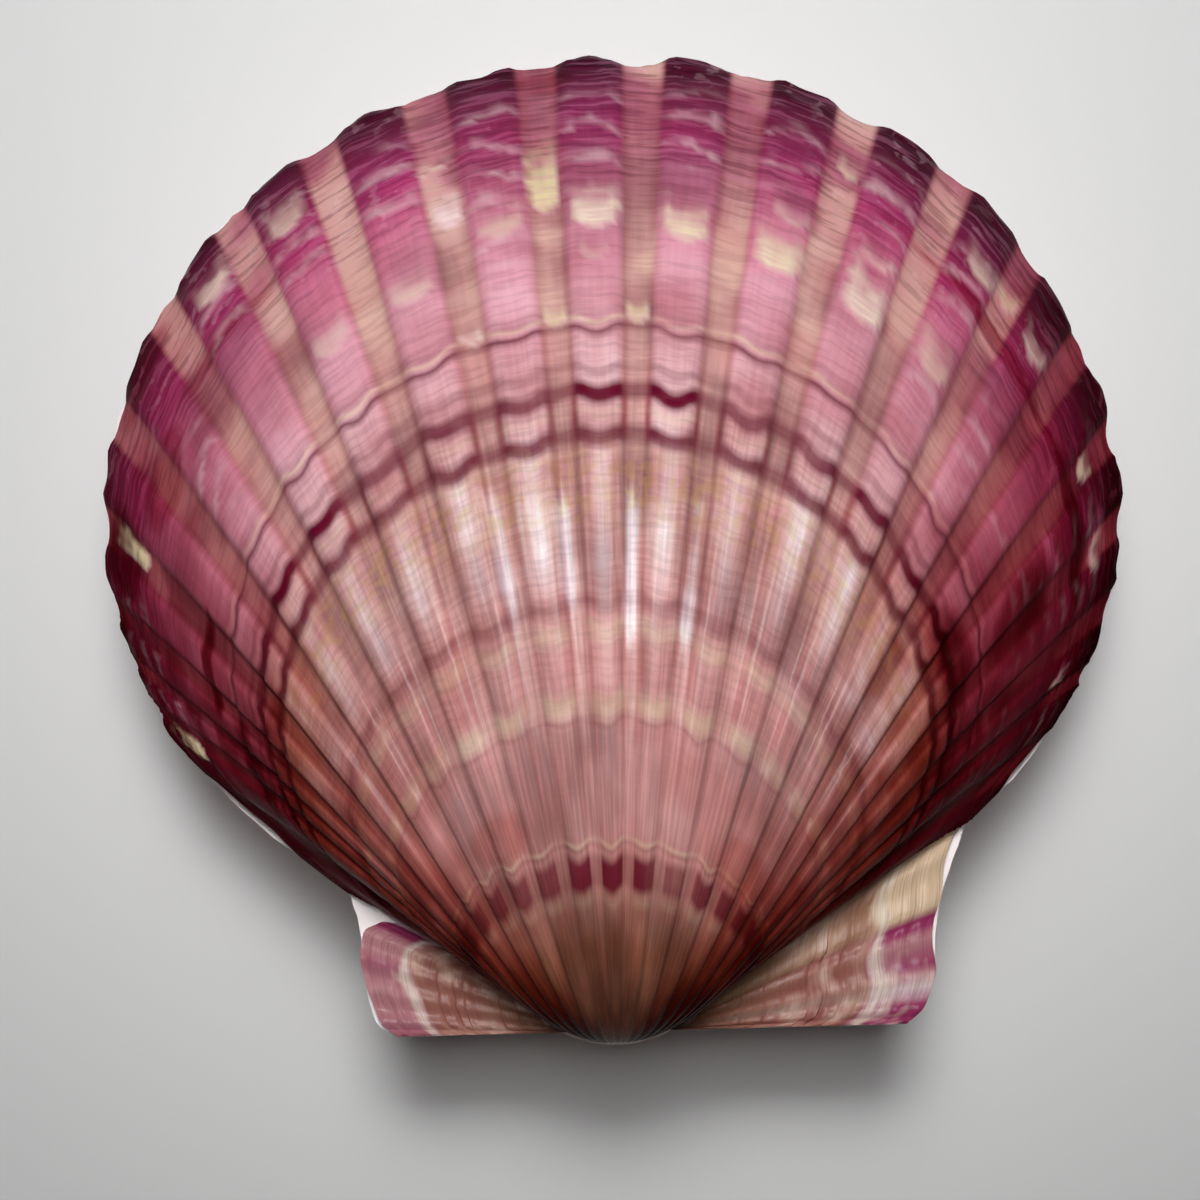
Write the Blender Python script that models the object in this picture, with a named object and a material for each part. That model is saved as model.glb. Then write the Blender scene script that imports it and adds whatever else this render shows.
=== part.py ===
"""A closed bay scallop lying on its left valve, in metres, +Z up.

X runs along the straight hinge line, with the notched front ear at -X. +Y runs from the hinge
to the belly edge. The origin is under the middle of the whole shell, on the surface it lies on.
Each valve grew as one piece, so each is one solid: disc, ears, ribs and beak together.
"""

import math

import bmesh
import bpy
import numpy as np

# The belly margin, seen from above: angle from +Y about the beak in degrees, and distance from it.
DISC_OUTLINE = (
    (-60.6, 0.0226), (-58.3, 0.0304), (-55.8, 0.0373), (-51.0, 0.0449), (-46.0, 0.0510),
    (-39.0, 0.0574), (-29.0, 0.0644), (-19.0, 0.0691), (-9.0, 0.0716), (1.0, 0.0725),
    (11.0, 0.0718), (21.0, 0.0694), (31.0, 0.0644), (37.0, 0.0604), (42.0, 0.0566),
    (47.0, 0.0520), (52.0, 0.0460), (56.3, 0.0393), (58.6, 0.0346), (60.3, 0.0303),
)

# The middle of each rib of the right valve at the margin, in degrees from +Y.
RIB_ANGLES = (
    -55.0, -52.4, -50.3, -46.8, -41.2, -34.6, -27.5, -20.9, -14.0, -6.7, -0.2,
    6.3, 12.9, 19.8, 26.7, 32.8, 38.7, 43.9, 48.5, 52.8, 55.3,
)
WIDEST_HALF_PERIOD = 3.3
RIB_SHOULDER = 0.42
RIB_FOOT = 0.70
RIB_RELIEF = 0.0009

# Ear edges, from the hinge corner to the notch or the disc.
RIGHT_VALVE_FRONT_EAR = (
    (-0.0160, 0.0), (-0.0172, 0.0011), (-0.0181, 0.0034), (-0.0186, 0.0058),
    (-0.0183, 0.0077), (-0.0169, 0.0083), (-0.0153, 0.0082),
)
RIGHT_VALVE_REAR_EAR = (
    (0.0210, 0.0), (0.0224, 0.0011), (0.0233, 0.0035), (0.0232, 0.0065),
    (0.0239, 0.0090), (0.0244, 0.0124), (0.0259, 0.0147),
)
LEFT_VALVE_FRONT_EAR = (
    (-0.0160, 0.0), (-0.0175, 0.0010), (-0.0181, 0.0028), (-0.0185, 0.0055),
    (-0.0187, 0.0080), (-0.0190, 0.0095), (-0.0195, 0.0109),
)
LEFT_VALVE_REAR_EAR = (
    (0.0210, 0.0), (0.0223, 0.0010), (0.0232, 0.0034), (0.0236, 0.0072),
    (0.0246, 0.0109), (0.0253, 0.0129), (0.0262, 0.0149),
)
EAR_RIB_RELIEF = 0.00012
EAR_FLATNESS = 0.45

# Growth: each older margin is the last one made smaller and rolled up about the hinge line.
COIL_RATE = 0.75
COIL_LIMIT = 2.1
COIL_SOFTNESS = 4
LEFT_VALVE_DEPTH = 0.88
FLANK_FULLNESS = 0.0070
FLANK_MIDDLE = 47.0
FLANK_SPREAD = 17.0
OUTER_STAGES = (
    1.0, 0.92, 0.84, 0.77, 0.72, 0.705, 0.655, 0.64, 0.57, 0.48,
    0.40, 0.32, 0.25, 0.19, 0.14, 0.10, 0.065, 0.035,
)
INNER_STAGES = (1.0, 0.92, 0.77, 0.57, 0.40, 0.25)
GROWTH_STOPS = (0.705, 0.64)
GROWTH_STOP_STEP = 0.0002

# Wall and closed rim.
EDGE_THICKNESS = 0.0008
WALL_THICKNESS = 0.0011
BEAK_THICKENING = 0.0011
RIM_WAVE = 0.00035
RIM_FADE_START = 0.70
VALVE_GAP = 0.00034
LEFT_VALVE_LIP = 0.0003

# The pair rolls forward until its weight is over two worn crests of the left valve.
RESTING_STAGES = (0.57, 0.48)
RESTING_CREST_REACH = 5.0

RIGHT_VALVE_COLOUR = (0.42, 0.16, 0.19)
LEFT_VALVE_COLOUR = (0.72, 0.55, 0.52)
SHELL_ROUGHNESS = 0.45
SHARP_ANGLE = 40.0
MERGE_DISTANCE = 1e-7


def clear_scene():
    """Start from an empty scene."""
    for old in list(bpy.data.objects):
        bpy.data.objects.remove(old, do_unlink=True)


def smooth_outline(angle):
    """Distance from the beak to the belly margin, on a smooth curve through the outline."""
    knots, sizes = np.array(DISC_OUTLINE).T
    slopes = np.gradient(sizes, knots)
    left = np.clip(np.searchsorted(knots, angle) - 1, 0, len(knots) - 2)
    span = knots[left + 1] - knots[left]
    t = (angle - knots[left]) / span
    start = sizes[left] * (1 + 2 * t) * (1 - t) ** 2 + span * slopes[left] * t * (1 - t) ** 2
    end = sizes[left + 1] * t ** 2 * (3 - 2 * t) - span * slopes[left + 1] * t ** 2 * (1 - t)
    return start + end


def rib_columns():
    """Angle and height (+1 on a crest, -1 in a furrow) of the four columns of each rib."""
    ribs = np.array(RIB_ANGLES)
    gaps = np.diff(ribs) / 2
    before = np.concatenate([gaps[:1], gaps])
    after = np.concatenate([gaps, gaps[-1:]])
    columns = []
    for middle, low, high in zip(ribs, before, after):
        for place, half, side in ((RIB_FOOT, low, -1), (RIB_SHOULDER, low, -1),
                                  (RIB_SHOULDER, high, 1), (RIB_FOOT, high, 1)):
            height = half / WIDEST_HALF_PERIOD
            columns.append((middle + side * place * half, height if place == RIB_SHOULDER else -height))
    return columns


def flank_rise(angle, margin_y):
    """How strongly a line of growth climbs: full on the flanks, falling away to the ears."""
    offset = (abs(angle) - FLANK_MIDDLE) / FLANK_SPREAD
    return margin_y + FLANK_FULLNESS * math.exp(-offset * offset)


def margin_columns(front_ear, rear_ear, depth):
    """The whole margin from one hinge corner to the other: x, y, rise, disc relief, ear relief."""
    columns = []
    for index, (x, y) in enumerate(front_ear):
        columns.append((x, y, EAR_FLATNESS * y, 0.0, EAR_RIB_RELIEF * (-1) ** index))
    edges = [(DISC_OUTLINE[0][0], 0.0)] + rib_columns() + [(DISC_OUTLINE[-1][0], 0.0)]
    for angle, height in edges:
        radius = float(smooth_outline(angle))
        x = radius * math.sin(math.radians(angle))
        y = radius * math.cos(math.radians(angle))
        columns.append((x, y, depth * flank_rise(angle, y), height, 0.0))
    for index, (x, y) in reversed(list(enumerate(rear_ear))):
        columns.append((x, y, EAR_FLATNESS * y, 0.0, EAR_RIB_RELIEF * (-1) ** index))
    return np.array(columns)


def coil_angle(stage):
    """How far an older margin has rolled up, in radians: a spiral that slackens at the beak."""
    roll = -COIL_RATE * np.log(stage)
    return roll / (1 + (roll / COIL_LIMIT) ** COIL_SOFTNESS) ** (1 / COIL_SOFTNESS)


def growth_surface(columns, stages):
    """Points of the smooth valve, indexed by column then growth stage, and their normals."""
    stage = np.array(stages)[None, :]
    roll = coil_angle(stage)
    x = columns[:, 0:1] * stage
    y = columns[:, 1:2] * stage * np.cos(roll)
    z = columns[:, 2:3] * stage * np.sin(roll)
    points = np.stack([x, y, z], axis=2)
    across = np.gradient(points, axis=0)
    along = np.gradient(points, axis=1)
    normals = np.cross(along, across)
    normals[[0, -1]] = (0.0, 0.0, 1.0)
    return points, normals / np.linalg.norm(normals, axis=2, keepdims=True)


def outer_points(columns, rib_sign, lip):
    """The ribbed outside of a valve, lifted from the rim plane by the edge's thickness."""
    points, normals = growth_surface(columns, OUTER_STAGES)
    stage = np.array(OUTER_STAGES)[None, :, None]
    relief = rib_sign * columns[:, 3][:, None, None] * RIB_RELIEF / 2 * stage
    for stop in GROWTH_STOPS:
        relief = relief + GROWTH_STOP_STEP * (stage == stop) * (columns[:, 3:4, None] != 0)
    points = points + normals * relief
    points[..., 2] += EDGE_THICKNESS + columns[:, 4:5] * np.array(OUTER_STAGES)[None, :]
    outward = points[:, 0, :2] / np.linalg.norm(points[:, 0, :2], axis=1, keepdims=True)
    points[:, 0, :2] += outward * lip * (columns[:, 3:4] != 0)
    return points


def even_normals(normals):
    """Each normal averaged with its two neighbours along the margin."""
    wider = np.concatenate([normals[:1], normals, normals[-1:]])
    even = wider[:-2] + wider[1:-1] + wider[2:]
    return even / np.linalg.norm(even, axis=2, keepdims=True)


def inner_points(columns, outer):
    """The inside, fluted at the rim and smooth further in, as far as the solid hinge plate."""
    points, normals = growth_surface(columns, INNER_STAGES)
    normals = even_normals(even_normals(normals))
    stage = np.array(INNER_STAGES)
    wall = WALL_THICKNESS + BEAK_THICKENING * (1 - stage) - EDGE_THICKNESS * normals[..., 2]
    points = points - normals * wall[..., None]
    points[..., 2] = np.maximum(points[..., 2], 0.0)
    points[:, 0, :2] = outer[:, 0, :2]
    points[:, 0, 2] = 0.0
    flute = np.clip((stage - RIM_FADE_START) / (1 - RIM_FADE_START), 0, 1)
    return points, flute


def valve_mesh(front_ear, rear_ear, depth, rib_sign, lip):
    """Vertices and faces of one valve with its rim in the XY plane, its outside facing +Z."""
    columns = margin_columns(front_ear, rear_ear, depth)
    outer = outer_points(columns, rib_sign, lip)
    inner, flute = inner_points(columns, outer)
    wave = rib_sign * RIM_WAVE * columns[:, 3]
    inner[..., 2] += wave[:, None] * flute[None, :]
    outer[..., 2] += VALVE_GAP / 2
    inner[..., 2] += VALVE_GAP / 2
    count, outer_rows = outer.shape[:2]
    inner_rows = inner.shape[1]
    points = np.concatenate([outer.reshape(-1, 3), inner.reshape(-1, 3)])

    def out(column, row):
        return column * outer_rows + row

    def inn(column, row):
        return count * outer_rows + column * inner_rows + row

    faces = []
    for column in range(count - 1):
        for row in range(outer_rows - 1):
            faces.append((out(column, row), out(column + 1, row),
                          out(column + 1, row + 1), out(column, row + 1)))
        for row in range(inner_rows - 1):
            faces.append((inn(column, row), inn(column, row + 1),
                          inn(column + 1, row + 1), inn(column + 1, row)))
        faces.append((inn(column, 0), inn(column + 1, 0), out(column + 1, 0), out(column, 0)))
    last = count - 1
    matching = [OUTER_STAGES.index(stage) for stage in INNER_STAGES]
    for row in range(inner_rows - 1):
        between = range(matching[row], matching[row + 1] + 1)
        for column in (0, last):
            faces.append([inn(column, row + 1), inn(column, row)] + [out(column, step) for step in between])
    plate = inner_rows - 1
    faces.append([inn(column, plate) for column in range(count)])
    beak = range(matching[-1], outer_rows)
    faces.append([inn(0, plate)] + [out(0, row) for row in beak]
                 + [out(column, outer_rows - 1) for column in range(1, last)]
                 + [out(last, row) for row in reversed(beak)] + [inn(last, plate)])
    return points, faces


def resting_crests():
    """Vertices of the two left valve crests under the weight, by growth stage."""
    first = len(LEFT_VALVE_FRONT_EAR) + 1
    columns = [first + index for index, (angle, height) in enumerate(rib_columns())
               if height < 0 and abs(angle) < RESTING_CREST_REACH]
    rows = [OUTER_STAGES.index(stage) for stage in RESTING_STAGES]
    return [[column * len(OUTER_STAGES) + row for column in columns] for row in rows]


def tilted(points, tilt):
    """Points rolled forward about the hinge line."""
    turned = points.copy()
    turned[:, 1] = points[:, 1] * math.cos(tilt) + points[:, 2] * math.sin(tilt)
    turned[:, 2] = points[:, 2] * math.cos(tilt) - points[:, 1] * math.sin(tilt)
    return turned


def shell_material(name, colour):
    """Smooth, slightly waxy shell."""
    material = bpy.data.materials.new(name)
    material.use_nodes = True
    shader = material.node_tree.nodes["Principled BSDF"]
    shader.inputs["Base Color"].default_value = (*colour, 1.0)
    shader.inputs["Roughness"].default_value = SHELL_ROUGHNESS
    shader.inputs["Metallic"].default_value = 0.0
    material.diffuse_color = (*colour, 1.0)
    return material


def valve_object(name, points, faces, colour):
    """One closed valve as an object."""
    mesh = bpy.data.meshes.new(name)
    mesh.from_pydata(points.tolist(), [], [tuple(face) for face in faces])
    shape = bmesh.new()
    shape.from_mesh(mesh)
    bmesh.ops.remove_doubles(shape, verts=shape.verts, dist=MERGE_DISTANCE)
    bmesh.ops.triangulate(shape, faces=shape.faces)
    bmesh.ops.recalc_face_normals(shape, faces=shape.faces)
    shape.to_mesh(mesh)
    shape.free()
    mesh.materials.append(shell_material(name, colour))
    mesh.shade_smooth()
    mesh.set_sharp_from_angle(angle=math.radians(SHARP_ANGLE))
    shell = bpy.data.objects.new(name, mesh)
    bpy.context.scene.collection.objects.link(shell)
    return shell


def build():
    """Make both valves and set the pair down on the surface it lies on."""
    clear_scene()
    upper, upper_faces = valve_mesh(RIGHT_VALVE_FRONT_EAR, RIGHT_VALVE_REAR_EAR, 1.0, 1, 0.0)
    lower, lower_faces = valve_mesh(LEFT_VALVE_FRONT_EAR, LEFT_VALVE_REAR_EAR,
                                    LEFT_VALVE_DEPTH, -1, LEFT_VALVE_LIP)
    lower = lower * (1, 1, -1)
    older, younger = resting_crests()[::-1]
    run = lower[younger].mean(axis=0) - lower[older].mean(axis=0)
    tilt = math.atan2(run[2], run[1])
    upper = tilted(upper, tilt)
    lower = tilted(lower, tilt)
    lower[older + younger, 2] = lower[:, 2].min()
    everything = np.concatenate([upper, lower])
    low = everything.min(axis=0)
    high = everything.max(axis=0)
    place = np.array([(low[0] + high[0]) / 2, (low[1] + high[1]) / 2, low[2]])
    valve_object("right_valve", upper - place, upper_faces, RIGHT_VALVE_COLOUR)
    valve_object("left_valve", lower - place, lower_faces, LEFT_VALVE_COLOUR)


build()
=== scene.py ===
"""A closed bay scallop shell, rose and magenta, lying on a pale surface and seen from above."""

import math

import bmesh
import bpy
import numpy as np
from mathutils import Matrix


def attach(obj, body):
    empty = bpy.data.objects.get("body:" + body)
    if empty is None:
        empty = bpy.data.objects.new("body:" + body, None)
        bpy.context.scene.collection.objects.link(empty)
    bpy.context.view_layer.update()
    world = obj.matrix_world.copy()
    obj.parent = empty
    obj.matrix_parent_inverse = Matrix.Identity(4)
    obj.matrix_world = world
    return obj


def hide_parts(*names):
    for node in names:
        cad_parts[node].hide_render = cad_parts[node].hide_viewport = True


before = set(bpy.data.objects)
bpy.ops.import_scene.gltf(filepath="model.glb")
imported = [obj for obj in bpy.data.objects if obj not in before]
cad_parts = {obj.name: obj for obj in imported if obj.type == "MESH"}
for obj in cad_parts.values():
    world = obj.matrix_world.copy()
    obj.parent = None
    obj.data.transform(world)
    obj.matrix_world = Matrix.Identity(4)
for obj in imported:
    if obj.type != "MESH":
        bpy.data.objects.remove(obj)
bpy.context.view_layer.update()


# The right valve, the upper half of the shell: one piece of calcite, secreted layer on layer by
# the edge of the mantle. Each older margin is the newest one made smaller and rolled up about the
# hinge line, so every mark on it follows a rib or a line of growth.

# The middle of the hinge line in metres, and the roll of the resting pair about it in radians.
HINGE_POINT = (-0.00065, -0.03538, 0.0210)
FORWARD_ROLL = 0.13437

# The newest margin of the disc: direction from the hinge point in degrees, and radius in metres.
DISC_OUTLINE = (
    (-60.6, 0.0226), (-58.3, 0.0304), (-55.8, 0.0373), (-51.0, 0.0449), (-46.0, 0.0510),
    (-39.0, 0.0574), (-29.0, 0.0644), (-19.0, 0.0691), (-9.0, 0.0716), (1.0, 0.0725),
    (11.0, 0.0718), (21.0, 0.0694), (31.0, 0.0644), (37.0, 0.0604), (42.0, 0.0566),
    (47.0, 0.0520), (52.0, 0.0460), (56.3, 0.0393), (58.6, 0.0346), (60.3, 0.0303),
)
# Directions of the rib crests in degrees, with the disc's two edges first and last.
RIB_ANGLES = (
    -60.6, -55.0, -52.4, -50.3, -46.8, -41.2, -34.6, -27.5, -20.9, -14.0, -6.7, -0.2,
    6.3, 12.9, 19.8, 26.7, 32.8, 38.7, 43.9, 48.5, 52.8, 55.3, 60.3,
)
FIRST_RIB = -1
LAST_RIB = 21
WIDEST_HALF_PERIOD = 3.3
# Edges of the ears from the hinge corner to the disc, x and y in metres.
RIGHT_VALVE_FRONT_EAR = (
    (-0.0160, 0.0), (-0.0172, 0.0011), (-0.0181, 0.0034), (-0.0186, 0.0058),
    (-0.0183, 0.0077), (-0.0169, 0.0083), (-0.0153, 0.0082),
)
RIGHT_VALVE_REAR_EAR = (
    (0.0210, 0.0), (0.0224, 0.0011), (0.0233, 0.0035), (0.0232, 0.0065),
    (0.0239, 0.0090), (0.0244, 0.0124), (0.0259, 0.0147),
)
# How the valve swells, with flanks placed in degrees, and how fast its older margins roll up.
EAR_FLATNESS = 0.45
FLANK_FULLNESS = 0.0070
FLANK_MIDDLE = 47.0
FLANK_SPREAD = 17.0
COIL_RATE = 0.75
COIL_LIMIT = 2.1
COIL_SOFTNESS = 4

# Columns of points run from beak to rim, and rows run along the growth lines.
EAR_RIBS = 2
EAR_COLUMNS = 36
WALL_COLUMNS = 9
COLUMNS_PER_RIB = 15
OUTER_ROWS = 210
INNER_ROWS = 15
ROW_CROWDING = 1.15
YOUNGEST_STAGE = 0.02
HINGE_PLATE_STAGE = 0.25

# Finish of the mesh: welding distance in metres, sharpest smooth fold in degrees, smoothing rounds.
MERGE_DISTANCE = 1e-7
SHARP_ANGLE = 50
NORMAL_ROUNDS = 12

# Thicknesses and reliefs in metres.
EDGE_THICKNESS = 0.0008
WALL_THICKNESS = 0.0011
BEAK_THICKENING = 0.0011
RIB_RELIEF = 0.0009
RIM_WAVE = 0.00035
VALVE_GAP = 0.00012
EAR_RIBLET_RELIEF = 0.00016
EAR_FOLD_RELIEF = 0.00022
LAMELLA_RELIEF = 0.00013
SCALY_RELIEF = 0.00022
WORN_RELIEF = 0.00026

# Shares of the ribs' height, and of the way from beak to rim.
CREST_CROWN = 0.28
RIB_WEAR = 0.58
RIM_FADE_START = 0.70
RIM_NOTCH = 0.001
RIM_RAGGEDNESS = 0.009

# How many of each fit on an ear or from beak to rim.
EAR_RIBLETS = 6
EAR_FOLDS = 38
LAMELLAE = 62
TILES = 30

# How far growth runs behind the even spiral: rib and lag, read off the rest lines at seven ribs.
LAG_AT_RIBS = ((-1, 0.060), (3, 0.027), (7, 0.003), (11, -0.001), (15, -0.018), (19, 0.0), (21, 0.010))
# Growth stops: age, height of the ledge, and how soon the new layer is as thick as the old one.
GROWTH_STOPS = ((0.705, 0.00012, 0.020), (0.642, 0.00022, 0.016), (0.604, 0.00016, 0.016),
                (0.462, 0.00010, 0.015), (0.390, 0.00010, 0.015), (0.281, 0.00012, 0.012))
# How much nearer the beak a growth line crosses a crest than a floor, as a share of its age.
CREST_LEAD = 0.014

# Depth of the maroon pigment at the flanks by age, and the half width in ribs of the pale middle. Towards
# the beak the extra depth and the narrower middle are partly painted shade on the beak's steep sides.
FLANK_PIGMENT_AND_SHADE = ((0.0, 2.6), (0.20, 1.6), (0.26, 2.1), (0.43, 1.3), (0.66, 2.7), (0.80, 2.2), (1.0, 2.0))
PALE_MIDDLE = ((0.0, 2.5), (0.12, 4.0), (0.27, 8.0), (0.45, 9.6), (1.0, 9.0))
MIDDLE_RIB = 9.9
REAR_FLANK_EXTRA = 0.16
# Stains and painted reflections: rib, age, half width, half height, and depth (below nothing where the
# pigment is thin). The four narrow pale marks at ribs 8.4, 9.4, 10.45 and 11.5 are painted reflections of
# the light on the floors between the ribs.
STAINS_AND_REFLECTIONS = (
    (2.9, 0.752, 0.9, 0.012, 1.6), (1.0, 0.700, 1.4, 0.020, 1.2), (1.0, 0.855, 0.7, 0.020, -0.9),
    (1.2, 0.795, 0.6, 0.020, -0.8), (0.7, 0.730, 0.5, 0.015, -0.6), (3.4, 0.930, 0.5, 0.035, 0.9),
    (4.5, 0.870, 0.5, 0.030, 0.6), (2.0, 0.960, 0.8, 0.020, 0.8), (5.0, 0.965, 0.5, 0.020, 0.6),
    (14.5, 0.900, 1.6, 0.010, 0.8), (17.0, 0.905, 1.2, 0.012, 1.2), (17.3, 0.790, 0.6, 0.070, 0.9),
    (16.1, 0.640, 0.5, 0.030, 0.6), (17.2, 0.850, 0.5, 0.015, -0.8), (17.5, 0.950, 0.4, 0.020, -0.9),
    (18.5, 0.735, 0.4, 0.014, -0.9), (19.0, 0.910, 0.25, 0.014, -1.4), (6.0, 0.885, 0.9, 0.010, 0.5),
    (9.5, 0.975, 0.3, 0.012, 0.5), (3.0, 0.620, 0.9, 0.015, 0.5), (16.8, 0.655, 0.9, 0.030, 1.0),
    # Painted reflections on the floors between the ribs, from here to rib 11.5.
    (8.4, 0.535, 0.12, 0.070, -0.5), (9.4, 0.520, 0.12, 0.070, -0.6), (10.45, 0.500, 0.12, 0.080, -0.6),
    (11.5, 0.500, 0.12, 0.070, -0.5), (14.0, 0.300, 1.4, 0.030, 0.35), (7.0, 0.310, 1.0, 0.022, 0.3),
    (16.3, 0.550, 1.4, 0.070, -0.5),
)

# Pale worn scales: rib, age of the lower edge, half width, height, strength, and how creamy.
PALE_SCALES = (
    (10.02, 0.801, 0.30, 0.041, 1.00, 0.5), (11, 0.792, 0.29, 0.041, 1.00, 0.7),
    (12.03, 0.788, 0.31, 0.043, 1.00, 0.7), (13.04, 0.786, 0.30, 0.057, 1.00, 0.5),
    (9, 0.804, 0.29, 0.027, 0.57, 0.7), (7, 0.771, 0.26, 0.030, 0.55, 0.5),
    (8, 0.771, 0.29, 0.030, 0.57, 0.5), (10, 0.768, 0.18, 0.015, 0.35, 0.5),
    (9.48, 0.827, 0.18, 0.070, 0.95, 1), (8.52, 0.834, 0.15, 0.040, 1.00, 0.1),
    (8.5, 0.9, 0.13, 0.012, 0.70, 0.5), (6.05, 0.926, 0.26, 0.030, 0.80, 0.5),
    (7, 0.92, 0.24, 0.040, 0.60, 0.5), (14.1, 0.926, 0.27, 0.030, 0.57, 0.5),
    (15.05, 0.928, 0.26, 0.024, 0.60, 0.5), (14, 0.796, 0.29, 0.041, 0.52, 0.7),
    (12.1, 0.842, 0.24, 0.018, 0.50, 0.5), (13.05, 0.845, 0.25, 0.018, 0.55, 0.4),
    (3.55, 0.878, 0.13, 0.070, 0.90, 1), (0.2, 0.85, 0.22, 0.060, 0.80, 1),
    (8.52, 0.712, 0.16, 0.014, 0.90, 0.3), (9.5, 0.713, 0.17, 0.018, 0.80, 0.9),
    (10.5, 0.714, 0.17, 0.018, 0.85, 0.9), (12.55, 0.925, 0.14, 0.022, 0.60, 0.8),
    (16.5, 0.934, 0.14, 0.024, 0.70, 0.8), (17.6, 0.938, 0.25, 0.022, 0.50, 0.5),
    (19.05, 0.9, 0.14, 0.030, 0.60, 0.7), (14.5, 0.938, 0.14, 0.024, 0.50, 1),
)
# How pale the small scaly steps of the last months are.
TILE_STRENGTH = 0.42


def curve(knots, values, at):
    """Values at the given places on a smooth curve through the knots."""
    knots = np.asarray(knots, float)
    values = np.asarray(values, float)
    slopes = np.gradient(values, knots)
    left = np.clip(np.searchsorted(knots, at) - 1, 0, len(knots) - 2)
    span = knots[left + 1] - knots[left]
    t = (at - knots[left]) / span
    start = values[left] * (1 + 2 * t) * (1 - t) ** 2 + span * slopes[left] * t * (1 - t) ** 2
    end = values[left + 1] * t ** 2 * (3 - 2 * t) - span * slopes[left + 1] * t ** 2 * (1 - t)
    return start + end


def smooth_step(low, high, value):
    """0 below low, 1 above high, and a soft rise between them."""
    t = np.clip((value - low) / (high - low), 0, 1)
    return t * t * (3 - 2 * t)


def grains(size, seed):
    """A table of even random numbers from 0 to 1, always the same."""
    return np.random.default_rng(seed).random(size)


def soft_noise(across, along, seed):
    """Smooth noise from 0 to 1 over a plane, one grain to each unit."""
    table = grains((64, 256), seed)
    column = np.floor(across).astype(int)
    row = np.floor(along).astype(int)
    s = smooth_step(0, 1, across - column)
    t = smooth_step(0, 1, along - row)

    def grain(dx, dy):
        return table[(column + dx) % 64, (row + dy) % 256]

    low = grain(0, 0) * (1 - s) + grain(1, 0) * s
    high = grain(0, 1) * (1 - s) + grain(1, 1) * s
    return low * (1 - t) + high * t


def ear_edge(points):
    """The edge of an ear from hinge corner to disc: x, y and rise."""
    knots = np.arange(len(points))
    at = np.linspace(0, len(points) - 1, EAR_COLUMNS)
    x = curve(knots, [p[0] for p in points], at)
    y = curve(knots, [p[1] for p in points], at)
    return x, y, EAR_FLATNESS * y


def margin_line(front_ear, rear_ear, depth):
    """The newest margin from hinge corner to hinge corner: x, y, rise, rib number, ear share."""
    rib = np.linspace(FIRST_RIB, LAST_RIB, (LAST_RIB - FIRST_RIB) * COLUMNS_PER_RIB + 1)
    numbers = np.arange(FIRST_RIB, LAST_RIB + 1)
    angle = np.interp(rib, numbers, RIB_ANGLES)
    knots, sizes = np.array(DISC_OUTLINE).T
    radius = curve(knots, sizes, angle)
    x = radius * np.sin(np.radians(angle))
    y = radius * np.cos(np.radians(angle))
    bulge = (np.abs(angle) - FLANK_MIDDLE) / FLANK_SPREAD
    rise = depth * (y + FLANK_FULLNESS * np.exp(-bulge * bulge))
    disc = np.array([x, y, rise])
    front = np.array(ear_edge(front_ear))
    rear = np.array(ear_edge(rear_ear))[:, ::-1]
    share = np.linspace(0, 1, WALL_COLUMNS + 2)[1:-1]
    climb = smooth_step(0, 1, share)
    front_wall = front[:, -1:] + (disc[:, :1] - front[:, -1:]) * np.array([share, share, climb])
    rear_wall = disc[:, -1:] + (rear[:, :1] - disc[:, -1:]) * np.array([share, share, climb])
    line = np.concatenate([front, front_wall, disc, rear_wall, rear], axis=1)
    ear = np.concatenate([np.ones(EAR_COLUMNS), 1 - climb, np.zeros(len(rib)), climb,
                          np.ones(EAR_COLUMNS)])
    number = np.concatenate([
        np.linspace(FIRST_RIB - 1 - EAR_RIBS, FIRST_RIB - 1, EAR_COLUMNS), FIRST_RIB - 1 + share, rib,
        LAST_RIB + share, np.linspace(LAST_RIB + 1, LAST_RIB + 1 + EAR_RIBS, EAR_COLUMNS)])
    return line, number, ear


def coil_angle(stage):
    """How far an older margin has rolled up: a spiral that slackens at the beak."""
    roll = -COIL_RATE * np.log(stage)
    return roll / (1 + (roll / COIL_LIMIT) ** COIL_SOFTNESS) ** (1 / COIL_SOFTNESS)


def growth_surface(line, stage):
    """Points and unit normals of the smooth valve, by column and growth stage."""
    roll = coil_angle(stage)
    points = np.stack([line[0] * stage, line[1] * stage * np.cos(roll),
                       line[2] * stage * np.sin(roll)], axis=2)
    normals = np.cross(np.gradient(points, axis=1), np.gradient(points, axis=0))
    normals[[0, -1]] = (0.0, 0.0, 1.0)
    return points, normals / np.linalg.norm(normals, axis=2, keepdims=True)


def off_crest(rib):
    """Distance in ribs from the nearest crest, half a rib at most."""
    return np.abs((rib + 0.5) % 1.0 - 0.5)


def crest_profile(rib):
    """Height across the ribs: 1 on the flat crests, -1 on the floors between them."""
    away = off_crest(rib)
    wall = 1 - 2 * smooth_step(0.20, 0.38, away)
    return wall + CREST_CROWN * np.cos(2 * np.pi * away) * np.abs(wall)


def half_period(rib):
    """Half the spacing of the ribs there, against the widest."""
    numbers = np.arange(FIRST_RIB, LAST_RIB + 1)
    middles = (numbers[1:] + numbers[:-1]) / 2
    return np.interp(rib, middles, np.diff(RIB_ANGLES)) / 2 / WIDEST_HALF_PERIOD


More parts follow.
